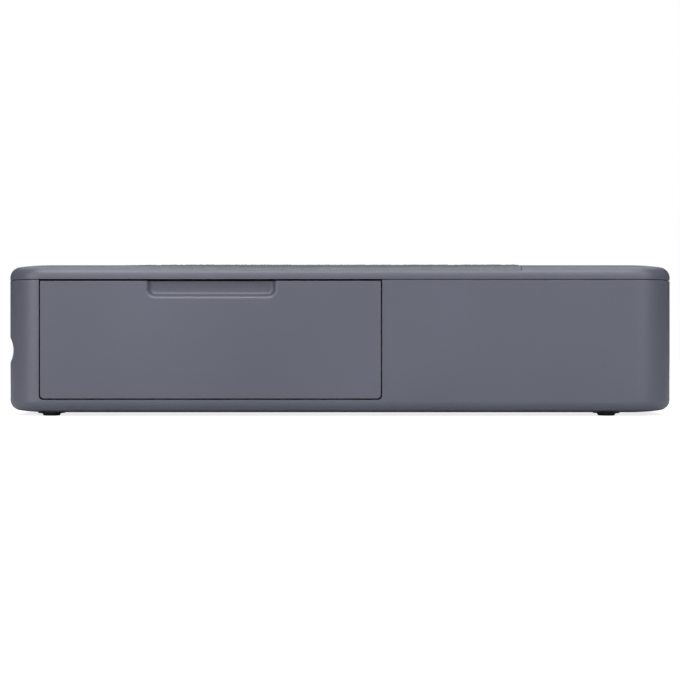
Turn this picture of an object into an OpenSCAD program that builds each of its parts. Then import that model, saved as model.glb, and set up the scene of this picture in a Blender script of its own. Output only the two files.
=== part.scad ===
// Compact photo printer: rounded case, full-length hinged cover over a sheet tray,
// drop-down ink door in the side, ribbon cassette, pivoting print head and geared paper feed.
// Frame: +X to the rear (paper leaves at -X), ink door on the -Y side, +Z up, Z = 0 under the feet.

/* [Case] */
// Length from the paper slot to the rear
case_length = 145.8; // [143:0.1:150]
// Width across the ink door side and the far side
case_width = 102.2; // [101:0.1:106]
// Height from the ground to the top of the cover
case_height = 33; // [32.5:0.05:35]
// Wall thickness of the case and the cover skirt
wall = 1.5; // [1.3:0.1:1.6]
// Radius of the upright corners
corner_radius = 9.4; // [9.3:0.1:10]
// Radius of the upper and lower edges where they meet the side
edge_radius = 2.3; // [2.2:0.1:2.4]
// Radius of the same edges where they run out into the top and the bottom
crown_radius = 50; // [40:1:52]
// Height of the rounded edges
edge_height = 2.8; // [2.6:0.05:2.8]
// Height of the feet under the case
foot_height = 0.55; // [0.4:0.05:1.2]

/* [Cover] */
// Height of the cover from the parting line to its top
cover_height = 3.45; // [3.3:0.05:3.6]
// Thickness of the cover's top skin
cover_skin = 1.4; // [1.2:0.1:1.5]
// Width of the parting line
parting_gap = 0.15; // [0.1:0.05:0.3]
// Distance from the rear face to the hinge axis
hinge_inset = 2.3; // [2.2:0.1:2.5]
// Height of the hinge axis above the parting line
hinge_rise = 1; // [0.9:0.1:1.1]
// Radius of the hinge pins of the cover and the door
hinge_pin_radius = 0.5; // [0.4:0.05:0.55]

/* [Ink door] */
// Front end of the door opening along the case
door_front = -64.7; // [-65:0.1:-64.3]
// Rear end of the door opening along the case
door_rear = 8.95; // [8.6:0.05:10]
// Height of the lower door gap
door_sill = 3.76; // [3.6:0.02:3.9]
// Width of the gap round the door
door_gap = 0.3; // [0.25:0.05:0.35]
// Width of the gap between the door and the cover
door_top_gap = 0.4; // [0.3:0.05:0.5]
// Radius of the lower corners of the door opening
door_corner_radius = 1; // [0.8:0.1:1]
// Length of the finger recess
recess_length = 27.9; // [24:0.1:30]
// Centre of the finger recess along the case
recess_centre = -27.7; // [-32:0.1:-24]
// Height of the finger recess
recess_height = 3.5; // [2.5:0.05:3.6]
// Depth of the finger recess
recess_depth = 1.3; // [1:0.1:1.4]

/* [Paper path] */
// Width of the paper sheets
paper_width = 72; // [70:0.5:73]
// Height of the paper path above the ground
path_height = 13.4; // [13.3:0.05:13.5]
// Height of the paper slot and its groove
slot_height = 14.3; // [14.2:0.1:14.5]
// Height of the groove round the paper slot
groove_height = 6.2; // [5:0.1:6.4]
// Width of the groove round the paper slot
groove_width = 95.8; // [90:0.1:96]
// Depth of the groove
groove_depth = 1.7; // [1:0.1:1.8]

/* [Rollers] */
// Radius of the platen roller under the print head
platen_radius = 4.5; // [4.3:0.1:4.6]
// Radius of the grip roller
grip_radius = 1.8; // [1.7:0.05:1.9]
// Radius of the pinch roller above the grip roller
pinch_radius = 1.3; // [1.2:0.05:1.4]
// Radius of the pickup roller
pickup_radius = 4; // [3.8:0.1:4.1]
// Radius of the exit roller
exit_radius = 2.3; // [2.2:0.05:2.4]
// Gear module
gear_module = 0.4; // [0.4:0.01:0.4]
// Thickness of a gear
gear_width = 2.2; // [1.8:0.1:2.3]

/* [Ink cassette] */
// Distance between the two spools
spool_spacing = 53; // [52.5:0.1:53.5]
// Height of the spools above the ground
spool_height = 21; // [20.9:0.05:21.1]
// Outer radius of the cassette tubes
tube_radius = 7; // [6.8:0.1:7]
// Wall of the cassette tubes
tube_wall = 1; // [0.8:0.1:1.1]
// Radius of the unused ribbon on its spool
supply_roll_radius = 5.2; // [4.6:0.1:5.4]
// Radius of the used ribbon on its spool
take_up_roll_radius = 3.4; // [3.2:0.1:4.2]

/* [Hidden] */
$fn = 48;
nothing = 0.01;
clear = 0.3;
running = 0.05;

// Case
case_bottom = foot_height;
parting = case_height - cover_height;
case_top = parting - parting_gap / 2;
cover_bottom = parting + parting_gap / 2;
floor_top = case_bottom + wall;
half_length = case_length / 2;
half_width = case_width / 2;
inner_front = -half_length + wall;
inner_side = half_width - wall;

// Cover hinge
cover_axis = [half_length - hinge_inset, parting + hinge_rise];
sweep_clear = 0.15;
ear_radius = 1.15;
ear_length = 3;
ear_offset = 30;
lug_length = 2.4;
lug_gap = 0.25;
skin_bottom = case_height - cover_skin;

// Ink door and its hinge
door_pin_inset = 1.6;
door_rest_gap = 0.35;
door_x0 = door_front + door_gap / 2;
door_x1 = door_rear - door_gap / 2;
door_z0 = door_sill + door_gap / 2;
door_z1 = cover_bottom - door_top_gap;
sill_top = door_sill - door_gap / 2;
door_axis = [-half_width + door_pin_inset, sill_top + door_pin_inset + door_rest_gap];
door_knuckle = 1.2;
door_knuckle_length = 4;
door_boss = [3.4, 1.5];
door_pin_reach = 2.4;
recess_back = 1;
recess_bevel = 0.75;

// Side plates and gear layers
plate = 0.8;
plate_y = paper_width / 2 + 3.2;
plate_front = inner_front + 2;
plate_rear = 21.5;
deck_bottom = case_top - 1.3;
deck_thickness = 0.8;
layer_a = plate_y + plate + 0.5;
layer_b = layer_a + gear_width + 0.4;
gears_end = layer_b + gear_width;

// Paper path: places are [x, z]
roller_half = paper_width / 2 - 1.8;
shaft_radius = 1.2;
thin_shaft = 0.7;
nip = 0.05;
platen_at = [-28, path_height - nip - platen_radius];
grip_at = [-14, path_height - nip - grip_radius];
pinch_at = [grip_at[0], path_height + nip + pinch_radius];
stack_top = path_height - 0.2;
pickup_at = [16, stack_top + 0.1 + pickup_radius];
exit_at = [-half_length + 7.3, path_height - nip - exit_radius];
exit_idler_radius = 1.6;
exit_idler_at = [exit_at[0], path_height + nip + exit_idler_radius];
guide_rib_pitch = 8;

// Gear trains
motor_teeth = 10;
big_teeth = 36;
small_teeth = 12;
platen_teeth = 25;
idler_teeth = 20;
grip_teeth = 10;
relay_teeth = 30;
pickup_teeth = 24;
ribbon_idler_teeth = 24;
take_up_teeth = 30;
motor_radius = 4.8;
motor_height = floor_top + motor_radius + 0.2;
compound_at = platen_at + spacing(platen_teeth, small_teeth) * aim(180 - 10.9);
motor_at = [
    compound_at[0] - leg(spacing(motor_teeth, big_teeth), compound_at[1] - motor_height),
    motor_height];
idler_at = meet(platen_at, spacing(platen_teeth, idler_teeth),
    grip_at, spacing(grip_teeth, idler_teeth), 1);
front_relay_at = meet(grip_at, spacing(grip_teeth, relay_teeth),
    pickup_at, spacing(relay_teeth, relay_teeth) + spacing(relay_teeth, pickup_teeth) - nothing, 1);
rear_relay_at = meet(front_relay_at, spacing(relay_teeth, relay_teeth),
    pickup_at, spacing(relay_teeth, pickup_teeth), -1);
take_up_at = [-spool_spacing, spool_height];
supply_at = [0, spool_height];
ribbon_motor_at = [-57.5, motor_height];
ribbon_idler_at = meet(ribbon_motor_at, spacing(motor_teeth, ribbon_idler_teeth),
    take_up_at, spacing(take_up_teeth, ribbon_idler_teeth), -1);

motor_phase = 0;
compound_phase = mesh(motor_at, motor_teeth, motor_phase, compound_at, big_teeth);
platen_phase = mesh(compound_at, small_teeth, compound_phase, platen_at, platen_teeth);
idler_phase = mesh(platen_at, platen_teeth, platen_phase, idler_at, idler_teeth);
grip_phase = mesh(idler_at, idler_teeth, idler_phase, grip_at, grip_teeth);
front_relay_phase = mesh(grip_at, grip_teeth, grip_phase, front_relay_at, relay_teeth);
rear_relay_phase = mesh(front_relay_at, relay_teeth, front_relay_phase, rear_relay_at, relay_teeth);
pickup_phase = mesh(rear_relay_at, relay_teeth, rear_relay_phase, pickup_at, pickup_teeth);
ribbon_idler_phase = mesh(ribbon_motor_at, motor_teeth, motor_phase,
    ribbon_idler_at, ribbon_idler_teeth);
take_up_phase = mesh(ribbon_idler_at, ribbon_idler_teeth, ribbon_idler_phase,
    take_up_at, take_up_teeth);

// Ink cassette
tube_near = -plate_y - plate - 2.6;
tube_far = plate_y - 0.4;
bridge = 2;
end_wall = 1.6;
film = 0.12;
film_half = paper_width / 2;
film_bottom = path_height + 0.25;
head_half_edge = 1.4;
hub_radius = 2.4;
core_radius = 2.2;
dog_reach = 2;
slit = 1.4;

// Print head
head_half = roller_half;
head_pivot = [-16, 21.6];
heater_bottom = film_bottom + film + 0.1;
bar_bottom = deck_bottom - 0.9;
heat_sink_top = bar_bottom - 2;
bar_front = -34;
bar_rear = -20;
front_bar_bottom = bar_bottom - 4.4;

// Sheet tray
tray_front = 6;
tray_rear = half_length - 3.9;
tray_inner = paper_width / 2 + 1.4;
tray_wall = 1.2;
tray_floor = 8.6;
tray_thickness = 0.8;
front_guide = [exit_at[0] + exit_radius + 1.1, platen_at[0] - platen_radius - 1.1];
rear_guide = [grip_at[0] + grip_radius + 0.8, tray_front - clear];
deck_near = -half_width + 3.5;
deck_far = inner_side - clear;
lift_pivot = [62, tray_floor + tray_thickness + 0.8];
lift_bottom = lift_pivot[1] - 0.4;
lift_thickness = 0.8;
lift_pin_radius = 0.7;
spring_at = [12, 20];
spring_radius = 3;

// Eject lever
lever_pivot = [-28, tube_near - 2];
lever_arm = 12;
lever_bottom = 10.4;
lever_thickness = 1.6;

// Battery and main board, in the rear of the case
battery_at = [half_length - 48.3, -half_width + 15.1];
battery_cell = [19.5, 43];
battery_pitch = 21.5;
board_at = [half_length - 49.1, half_width - 41.1];
board_width = 34;
board_rear = half_length - wall - 0.4;

// Power button, on the far side
button_at = [half_length - 23.3, 18];
button_radius = 3.4;
light_at = [button_at[0] - 9, button_at[1]];
port_size = [7.3, 8.94, 3.2];
board_rise = 1;
board_thickness = 1;
port_at = [half_length, half_width - 23.1, floor_top + board_rise + board_thickness + port_size[2] / 2];
port_wall = 0.3;

function aim(a) = [cos(a), sin(a)];
function leg(long, short) = sqrt(long * long - short * short);
function bearing(p, q) = atan2(q[1] - p[1], q[0] - p[0]);
function spacing(n, k) = gear_module * (n + k) / 2;
// Point at distance a from p and b from q, on the left (side 1) or right (side -1) of the line p to q
function meet(p, a, q, b, side) =
    let (d = norm(q - p), cosine = (a * a + d * d - b * b) / (2 * a * d))
    p + a * aim(bearing(p, q) + side * acos(max(-1, min(1, cosine))));
// Turn of the second gear that puts one of its gaps where the first gear's tooth stands
function mesh(p, n, phase, q, k) =
    let (a = bearing(p, q))
    a + 180 - (0.5 - (a - phase) * n / 360) * 360 / k;
function involute(a) = tan(a) * 180 / PI - a;
// Half the angle of a tooth at radius r
function tooth_half(n, r) =
    let (pitch_r = gear_module * n / 2, base_r = pitch_r * cos(20), backlash = 0.13)
    90 / n - backlash / pitch_r * 90 / PI + involute(20)
        - involute(acos(min(1, base_r / max(r, base_r))));

// Edge of the print head that the film runs round, on the front (side -1) or the rear (side 1)
function film_edge(side) = [platen_at[0] + side * head_half_edge, film_bottom];
// Where a straight line from p touches a circle
function tangent_at(p, c, r, side) =
    let (d = norm(c - p), a = bearing(p, c) + side * asin(r / d))
    p + leg(d, r) * aim(a);

// ---- helpers ----

// Moves a shape drawn in X and Z, with its thickness along Y from y0 to y1
module along_y(y0, y1) {
    translate([0, y1, 0]) rotate([90, 0, 0]) linear_extrude(y1 - y0) children();
}

module rod(at, r, y0, y1) {
    along_y(y0, y1) translate(at) circle(r);
}

module rod_x(at, r, x0, x1) {
    translate([x0, at[0], at[1]]) rotate([0, 90, 0]) cylinder(r = r, h = x1 - x0);
}

module block(low, high) {
    translate(low) cube(high - low);
}

module gear_shape(n, phase) {
    pitch_r = gear_module * n / 2;
    radii = [pitch_r - 1.2 * gear_module, max(pitch_r * cos(20), pitch_r - 1.1 * gear_module),
        pitch_r, pitch_r + 0.85 * gear_module];
    polygon([for (k = [0 : n - 1]) each concat(
        [for (r = radii) r * aim(phase + k * 360 / n - tooth_half(n, r))],
        [for (i = [3 : -1 : 0]) radii[i] * aim(phase + k * 360 / n + tooth_half(n, radii[i]))])]);
}

module gear(at, n, phase, y0, bore = 0) {
    along_y(y0, y0 + gear_width) translate(at) difference() {
        gear_shape(n, phase);
        if (bore > 0) circle(bore);
        if (n >= 24) for (a = [30 : 60 : 330])
            translate(gear_module * n * 0.29 * aim(a + phase)) circle(gear_module * n * 0.075);
    }
}

// Half section of a rounded shell: straight up to height h, rounded at the bottom with radius e
module edge_section(reach, h, e) {
    intersection() {
        square([reach, h]);
        union() {
            translate([0, e]) square([reach, h]);
            square([reach - e, h]);
            translate([reach - e, e]) circle(e);
        }
    }
}

// Half section of the shell: a flat crown arc runs out of the bottom, and a smaller arc turns up into the side
module crown_section(reach, h) {
    run = edge_radius + leg(crown_radius - edge_radius, crown_radius - edge_height);
    crown_at = [reach - run, crown_radius];
    turn_at = [reach - edge_radius, edge_height];
    way = (turn_at - crown_at) / norm(turn_at - crown_at);
    intersection() {
        square([reach, h]);
        union() {
            translate([0, edge_height]) square([reach, h]);
            square([max(nothing, reach - run), h]);
            translate(turn_at) circle(edge_radius);
            intersection() {
                translate(crown_at) circle(crown_radius, $fn = 720);
                polygon([crown_at, crown_at - [0, 2 * crown_radius], crown_at + 2 * crown_radius * way]);
            }
            polygon([crown_at, crown_at + crown_radius * way, turn_at, [reach - run, h + crown_radius]]);
        }
    }
}

// Block with upright corners of radius c, its edge drawn by the section it is given
module rounded_block(l, w, h, c) {
    for (sx = [-1, 1], sy = [-1, 1])
        translate([sx * (l / 2 - c), sy * (w / 2 - c), 0])
            rotate([0, 0, sx > 0 ? (sy > 0 ? 0 : 270) : (sy > 0 ? 90 : 180)])
                rotate_extrude(angle = 90) children();
    for (side = [0, 180]) {
        rotate([0, 0, side]) translate([l / 2 - c, w / 2 - c, 0])
            rotate([90, 0, 0]) linear_extrude(w - 2 * c) children();
        rotate([0, 0, side]) translate([-l / 2 + c, w / 2 - c, 0])
            rotate([90, 0, 90]) linear_extrude(l - 2 * c) children();
    }
    block([-l / 2 + c, -w / 2 + c, 0], [l / 2 - c, w / 2 - c, h]);
}

// Coil spring standing up, closed at both ends by flat rings
module coil(r, wire, height, turns) {
    steps = 14;
    count = steps * turns;
    ring = [for (a = [0 : 60 : 300]) wire * aim(a)];
    rise = (height - 2 * wire) / count;
    points = [for (i = [0 : count], p = ring)
        [(r + p[0]) * cos(i * 360 / steps), (r + p[0]) * sin(i * 360 / steps), wire + i * rise + p[1]]];
    side = [for (i = [0 : count - 1], k = [0 : 5])
        [i * 6 + k, i * 6 + (k + 1) % 6, (i + 1) * 6 + (k + 1) % 6, (i + 1) * 6 + k]];
    polyhedron(points, concat([[for (k = [5 : -1 : 0]) k]], side,
        [[for (k = [0 : 5]) count * 6 + k]]), convexity = 8);
}

// ---- case ----

module shell_block(h) {
    rounded_block(case_length, case_width, h, corner_radius) crown_section(corner_radius, h);
}

// Room inside the shell
module shell_room(h) {
    c = corner_radius - wall;
    rounded_block(case_length - 2 * wall, case_width - 2 * wall, h, c)
        edge_section(c, h, edge_height - wall);
}

// Rounded groove across the front
module front_groove() {
    r = (groove_height * groove_height / 4 + groove_depth * groove_depth) / (2 * groove_depth);
    rod([groove_depth - half_length - r, slot_height], r, -groove_width / 2, groove_width / 2);
}

// What the lower edge of the door sweeps: a rod, with steps where the door's corners are round
module door_sweep() {
    r = door_corner_radius - door_gap / 2;
    steps = 3;
    rise = door_axis[1] - door_z0;
    for (i = [0 : steps]) {
        in = r * i / steps;
        rod_x(door_axis, norm([door_pin_inset, rise - r + leg(r, r - in)]) + 0.17,
            (i == 0 ? door_front - door_gap / 2 : door_x0 + r * (i - 1) / steps),
            (i == 0 ? door_rear + door_gap / 2 : door_x1 - r * (i - 1) / steps));
    }
}

// What the rear edge of the cover sweeps below the hinge axis, as a turned body
module cover_sweep() {
    flat_half = half_width - corner_radius;
    drop = cover_axis[1] - cover_bottom;
    corner_end = sqrt(pow(corner_radius, 2) - pow(cover_axis[0] - half_length + corner_radius, 2));
    steps = 4;
    profile = [for (i = [0 : steps]) let (
            y = corner_end * i / steps,
            x = half_length - corner_radius + leg(corner_radius, y) - cover_axis[0])
        [sqrt(x * x + drop * drop) + sweep_clear, flat_half + y]];
    translate([cover_axis[0], 0, cover_axis[1]]) rotate([90, 0, 0]) rotate_extrude()
        polygon(concat([[0, -flat_half - corner_end]],
            [for (i = [steps : -1 : 0]) [profile[i][0], -profile[i][1]]], profile,
            [[0, flat_half + corner_end]]));
}

module hinge_ears() {
    for (side = [-1, 1]) {
        y0 = side * ear_offset - ear_length / 2;
        y1 = side * ear_offset + ear_length / 2;
        along_y(y0, y1) union() {
            translate(cover_axis) circle(ear_radius);
            translate([cover_axis[0] - ear_radius, case_top - 6])
                square([2 * ear_radius, cover_axis[1] - case_top + 6]);
        }
    }
}

module door_opening() {
    along_y(-half_width - 1, -half_width + wall + clear) union() {
        translate([door_front - door_gap / 2, sill_top + door_corner_radius])
            square([door_rear - door_front + door_gap, case_height]);
        translate([door_front - door_gap / 2 + door_corner_radius, sill_top])
            square([door_rear - door_front + door_gap - 2 * door_corner_radius, case_height]);
        for (x = [door_front - door_gap / 2 + door_corner_radius,
                door_rear + door_gap / 2 - door_corner_radius])
            translate([x, sill_top + door_corner_radius]) circle(door_corner_radius);
    }
}

module lower_case() {
    color("#67696f") difference() {
        union() {
            difference() {
                translate([0, 0, case_bottom]) shell_block(case_top - case_bottom);
                translate([0, 0, floor_top]) shell_room(case_height);
                cover_sweep();
            }
            // thicker front wall behind the groove
            block([inner_front - nothing, -groove_width / 2 + 5, slot_height - 4.4],
                [inner_front + groove_depth, groove_width / 2 - 5, slot_height + 4.4]);
            hinge_ears();
            // bosses that hold the ends of the door pins
            for (x = [door_front - door_gap / 2 - door_boss[0], door_rear + door_gap / 2])
                block([x, -inner_side - nothing, door_axis[1] - door_boss[1]],
                    [x + door_boss[0], door_axis[0] + door_boss[1], door_axis[1] + door_boss[1]]);
            for (at = screw_places) translate([at[0], at[1], floor_top - nothing])
                cylinder(r = 2.2, h = 4);
            // rings that the lift springs stand in
            for (side = [-1, 1]) translate([spring_at[0], side * spring_at[1], floor_top - nothing])
                difference() {
                    cylinder(r = spring_radius + 1.6, h = 1.2);
                    translate([0, 0, -1]) cylinder(r = spring_radius + 0.7, h = 3);
                }
            // posts that carry the deck
            for (at = deck_screw_places) translate([at[0], at[1], floor_top - nothing])
                cylinder(r = 2.2, h = deck_bottom - floor_top + nothing);
            // post of the eject lever
            translate([lever_pivot[0], lever_pivot[1], floor_top - nothing]) {
                cylinder(r = 1.8, h = lever_bottom - floor_top - 0.2);
                cylinder(r = 1, h = lever_bottom + lever_thickness - floor_top + 0.4);
            }
            for (at = board_posts) translate([at[0], at[1], floor_top - nothing])
                cylinder(r = 1.6, h = board_rise);
        }
        front_groove();
        block([-half_length - 1, -paper_width / 2 - 1, slot_height - 1.1],
            [inner_front + groove_depth + 1, paper_width / 2 + 1, slot_height + 1.1]);
        door_opening();
        door_sweep();
        rod_x(door_axis, hinge_pin_radius + running,
            door_x0 - door_pin_reach - 0.2, door_x1 + door_pin_reach + 0.2);
        for (side = [-1, 1])
            rod(cover_axis, hinge_pin_radius + running, side * ear_offset - ear_length,
                side * ear_offset + ear_length);
        for (at = screw_places) translate([at[0], at[1], case_bottom - 1]) {
            cylinder(r = 0.9, h = 6);
            cylinder(r = 2, h = 1.9);
        }
        for (at = deck_screw_places) translate([at[0], at[1], deck_bottom - 3.4]) cylinder(r = 0.8, h = 9);
        for (at = feet_places) translate([at[0], at[1], case_bottom - 1]) cylinder(r = 3, h = 1.3);
        // charging port
        translate([half_length - wall - 1, port_at[1], port_at[2]]) rotate([90, 0, 90])
            linear_extrude(wall + 2) port_shape(0.25);
        // power button and its light
        translate([button_at[0], half_width + 1, button_at[1]]) rotate([90, 0, 0])
            cylinder(r = button_radius + clear, h = wall + 2);
        translate([light_at[0], half_width + 1, light_at[1]]) rotate([90, 0, 0])
            cylinder(r = 0.8, h = wall + 2);
        // cooling slits under the motors
        for (i = [0 : 5]) translate([motor_at[0] - 16 + i * slit_pitch, plate_y, 0])
            block([0, -27, case_bottom - 1], [slit_width, -5, floor_top + 0.1]);
    }
}

slit_pitch = 4;
slit_width = 1.4;
rear_post = [half_length - 7.3, -half_width + 8.1];
middle_post = [24, half_width - 4.1];
screw_places = [[-half_length + 7.3, 30], [-half_length + 7.3, -30], middle_post, rear_post];
board_posts = [board_at + [3.8, 4], board_at + [3.8, 26], board_at + [37.8, 2]];
feet_places = [for (x = [-half_length + 9.7, half_length - 14.55], side = [-1, 1]) [x, side * (half_width - 5.7)]];

module rubber_feet() {
    color("#232326") for (at = feet_places) translate([at[0], at[1], 0]) {
        cylinder(r1 = 1.75, r2 = 2.1, h = foot_height);
        translate([0, 0, foot_height]) cylinder(r = 2.9, h = 0.3);
    }
}

module port_shape(grow) {
    r = port_size[2] / 2 + grow;
    union() {
        square([port_size[1] - port_size[2], 2 * r], center = true);
        for (side = [-1, 1]) translate([side * (port_size[1] - port_size[2]) / 2, 0]) circle(r);
    }
}

module usb_port() {
    color("#c9cbce") translate([half_length - 0.4 - port_size[0], port_at[1], port_at[2]])
        rotate([90, 0, 90]) union() {
            difference() {
                linear_extrude(port_size[0]) port_shape(0);
                translate([0, 0, 1]) linear_extrude(port_size[0]) port_shape(-port_wall);
            }
            translate([0, 0, 0.5]) linear_extrude(port_size[0] - 1.5) square([6.2, 0.7], center = true);
        }
}

// ---- frame ----

// Outline that the cassette passes through, with room c all round
module cassette_window(c) {
    r = tube_radius + c;
    union() {
        for (at = [take_up_at, supply_at]) translate(at) circle(r);
        polygon([[-spool_spacing, spool_height], film_edge(-1) + [0, -0.7], film_edge(1) + [0, -0.7],
            [0, spool_height], [0, spool_height + r], [-spool_spacing, spool_height + r]]);
    }
}

module side_plate_shape() {
    difference() {
        translate([plate_front, floor_top]) square([plate_rear - plate_front, deck_bottom - floor_top]);
        for (at = [platen_at, grip_at, pickup_at, exit_at])
            translate(at) circle(shaft_radius + running);
        for (at = [pinch_at, exit_idler_at]) translate(at) circle(thin_shaft + running);
        translate(head_pivot) circle(1);
    }
}

module near_side_plate() {
    color("#b4b8bc") along_y(-plate_y - plate, -plate_y) difference() {
        side_plate_shape();
        cassette_window(0.5);
    }
}

module far_side_plate() {
    color("#b4b8bc") along_y(plate_y, plate_y + plate) difference() {
        side_plate_shape();
        for (at = [take_up_at, supply_at]) translate(at) circle(shaft_radius + running);
        for (at = [motor_at, ribbon_motor_at]) translate(at) circle(1.6);
        for (at = stud_places) translate(at) circle(0.8);
    }
}

stud_places = [compound_at, idler_at, front_relay_at, rear_relay_at, ribbon_idler_at];

module gear_studs() {
    color("#9da1a6") for (i = [0 : len(stud_places) - 1]) {
        top = i == 1 || i == 4 ? layer_b - 0.3 : gears_end + 0.3;
        rod(stud_places[i], 0.8, plate_y, top);
        rod(stud_places[i], 1.2, top, top + 0.4);
    }
}

module cross_bars() {
    color("#a9adb2") {
        block([plate_front, -plate_y, front_bar_bottom], [plate_front + 2.4, plate_y, front_bar_bottom + plate]);
        block([plate_front, -plate_y, front_bar_bottom + plate], [plate_front + plate, plate_y, front_bar_bottom + 4]);
        difference() {
            block([bar_front, -plate_y, bar_bottom], [bar_rear, plate_y, bar_bottom + plate]);
            for (side = [-1, 1]) translate([(bar_front + bar_rear) / 2, side * 30, 0])
                cylinder(r = 1, h = case_height);
        }
    }
}

module inner_deck() {
    color("#4a4c51") difference() {
        block([plate_front, deck_near, deck_bottom],
            [tray_rear + 0.2, deck_far, deck_bottom + deck_thickness]);
        block([plate_rear, -tray_inner, deck_bottom - 1], [tray_rear - tray_wall, tray_inner, case_height]);
        for (at = deck_screw_places) translate([at[0], at[1], 0]) cylinder(r = 0.8, h = case_height);
        for (x = [plate_front, tray_rear + 0.2]) for (side = [-1, 1]) corner_trim(x, side);
        // stiffening grooves over the cassette
        for (x = [-60 : 12 : 12]) block([x, -30, deck_bottom + 0.4], [x + 1.2, 30, case_height]);
        // finger notch for lifting the sheets out
        translate([plate_rear, 0, deck_bottom - 1]) cylinder(r = 9, h = 4);
    }
}

// Cuts the deck's outer corners so that they follow the case
module corner_trim(x, side) {
    y = side > 0 ? deck_far : deck_near;
    translate([x, y, deck_bottom - 1]) rotate([0, 0, 45]) cube([9, 9, 8], center = true);
}

deck_screw_places = [[-half_length + 7.8, -half_width + 6.6], [-half_length + 7.8, half_width - 6.6],
    [15.5, -half_width + 5.8], middle_post, rear_post];

module deck_screws() {
    color("#2c2d30") for (at = deck_screw_places)
        translate([at[0], at[1], deck_bottom + deck_thickness]) screw(1.6, 0.5, 0.8, 3);
}

// Pan head screw: head above the origin, shank below
module screw(head_r, head_h, shank_r, length) {
    difference() {
        cylinder(r = head_r, h = head_h);
        for (a = [0, 90]) rotate([0, 0, a]) translate([0, 0, head_h]) cube([1.8, 0.4, 0.5], center = true);
    }
    translate([0, 0, -length]) cylinder(r = shank_r, h = length);
}

module case_screws() {
    color("#2c2d30") for (at = screw_places)
        translate([at[0], at[1], case_bottom + 0.9]) rotate([180, 0, 0]) screw(1.8, 0.6, 0.9, 4);
}

module paper_tray() {
    color("#55575d") difference() {
        union() {
            block([tray_front, -tray_inner - tray_wall, tray_floor],
                [tray_rear, tray_inner + tray_wall, tray_floor + tray_thickness]);
            for (side = [-1, 1])
                block([plate_rear + clear, side > 0 ? tray_inner : -tray_inner - tray_wall, tray_floor],
                    [tray_rear, side > 0 ? tray_inner + tray_wall : -tray_inner, deck_bottom]);
            block([tray_rear - tray_wall, -tray_inner, tray_floor], [tray_rear, tray_inner, deck_bottom]);
        }
        for (side = [-1, 1]) translate([spring_at[0], side * spring_at[1], tray_floor - 1])
            cylinder(r = spring_radius + 1, h = 4);
        rod(lift_pivot, lift_pin_radius + running, -tray_inner - 3, tray_inner + 3);
    }
}

module lift_plate() {
    half = tray_inner - 0.8;
    color("#8b8e93") difference() {
        union() {
            block([tray_front + 0.4, -half, lift_bottom], [lift_pivot[0], half, lift_bottom + lift_thickness]);
            rod(lift_pivot, 0.75, -half, half);
            rod(lift_pivot, lift_pin_radius, -tray_inner - tray_wall, tray_inner + tray_wall);
        }
        for (side = [-1, 1]) block([30, side * 22 - 7, 0], [52, side * 22 + 7, 40]);
    }
}

module separation_pad() {
    color("#b98a5a") block([13, -9, lift_bottom + lift_thickness], [19, 9, lift_bottom + lift_thickness + 0.25]);
}

module lift_springs() {
    color("#c4c7ca") for (side = [-1, 1]) translate([spring_at[0], side * spring_at[1], floor_top])
        coil(spring_radius, 0.3, lift_bottom - floor_top, 5);
}

module front_paper_guide() {
    color("#3c3d41") difference() {
        union() {
            block([front_guide[0], -plate_y, path_height - 1.1], [front_guide[1], plate_y, path_height - 0.4]);
            for (i = [-4 : 4]) translate([0, i * guide_rib_pitch, 0])
                block([front_guide[0], -0.5, path_height - 0.4], [front_guide[1], 0.5, path_height - 0.1]);
        }
        block([-56, -12, 0], [-50, -4, 40]);
    }
}

module rear_paper_guide() {
    color("#3c3d41") union() {
        block([rear_guide[0], -plate_y, path_height - 1.8], [rear_guide[1], plate_y, path_height - 0.9]);
        for (i = [-4 : 4]) translate([0, i * guide_rib_pitch, 0])
            block([rear_guide[0], -0.5, path_height - 0.9], [rear_guide[1], 0.5, path_height - 0.1]);
    }
}

// ---- electrics ----

module battery_pack() {
    round = 1;
    color("#2f4f86") translate([battery_at[0], battery_at[1], 0]) union() {
        for (i = [0, 1]) translate([i * battery_pitch, 0, 0]) hull()
            for (x = [round, battery_cell[0]]) for (z = [floor_top + round, tray_floor - 1.3])
                translate([x, 0, z]) rotate([-90, 0, 0]) cylinder(r = round, h = battery_cell[1], $fn = 24);
        block([5, battery_cell[1] - 1, floor_top], [35, battery_cell[1] + 1.6, floor_top + 2]);
    }
}

module main_board() {
    color("#1f5a3c") difference() {
        block([board_at[0], board_at[1], floor_top + board_rise],
            [board_rear, board_at[1] + board_width, floor_top + board_rise + board_thickness]);
        for (at = board_posts) translate([at[0], at[1], 0]) cylinder(r = 0.6, h = 20);
    }
}

// Chips, connectors and capacitors, placed from the board's corner
module board_parts() {
    color("#26272a") translate([board_at[0], board_at[1], floor_top + board_rise + board_thickness]) {
        block([7.8, 8, 0], [17.8, 18, 1]);
        block([21.8, 9, 0], [28.8, 15, 0.9]);
        block([21.8, 20, 0], [31.8, 26, 1.4]);
        block([8.8, 23, 0], [13.8, 27, 1.8]);
        for (i = [0 : 4]) translate([19.8 + i * 2.6, 3, 0]) cube([1.4, 1.2, 0.6]);
        for (i = [0, 1]) translate([35.8, 10 + i * 4, 0]) cylinder(r = 1.6, h = 3.2);
    }
}

module can_motor(at, length) {
    rod(at, motor_radius, plate_y - length, plate_y);
    rod(at, 1.5, plate_y - length - 0.8, plate_y - length);
}

module feed_motor() {
    color("#9a9da1") can_motor(motor_at, 20);
}

module ribbon_motor() {
    color("#9a9da1") can_motor(ribbon_motor_at, 16);
}

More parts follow.
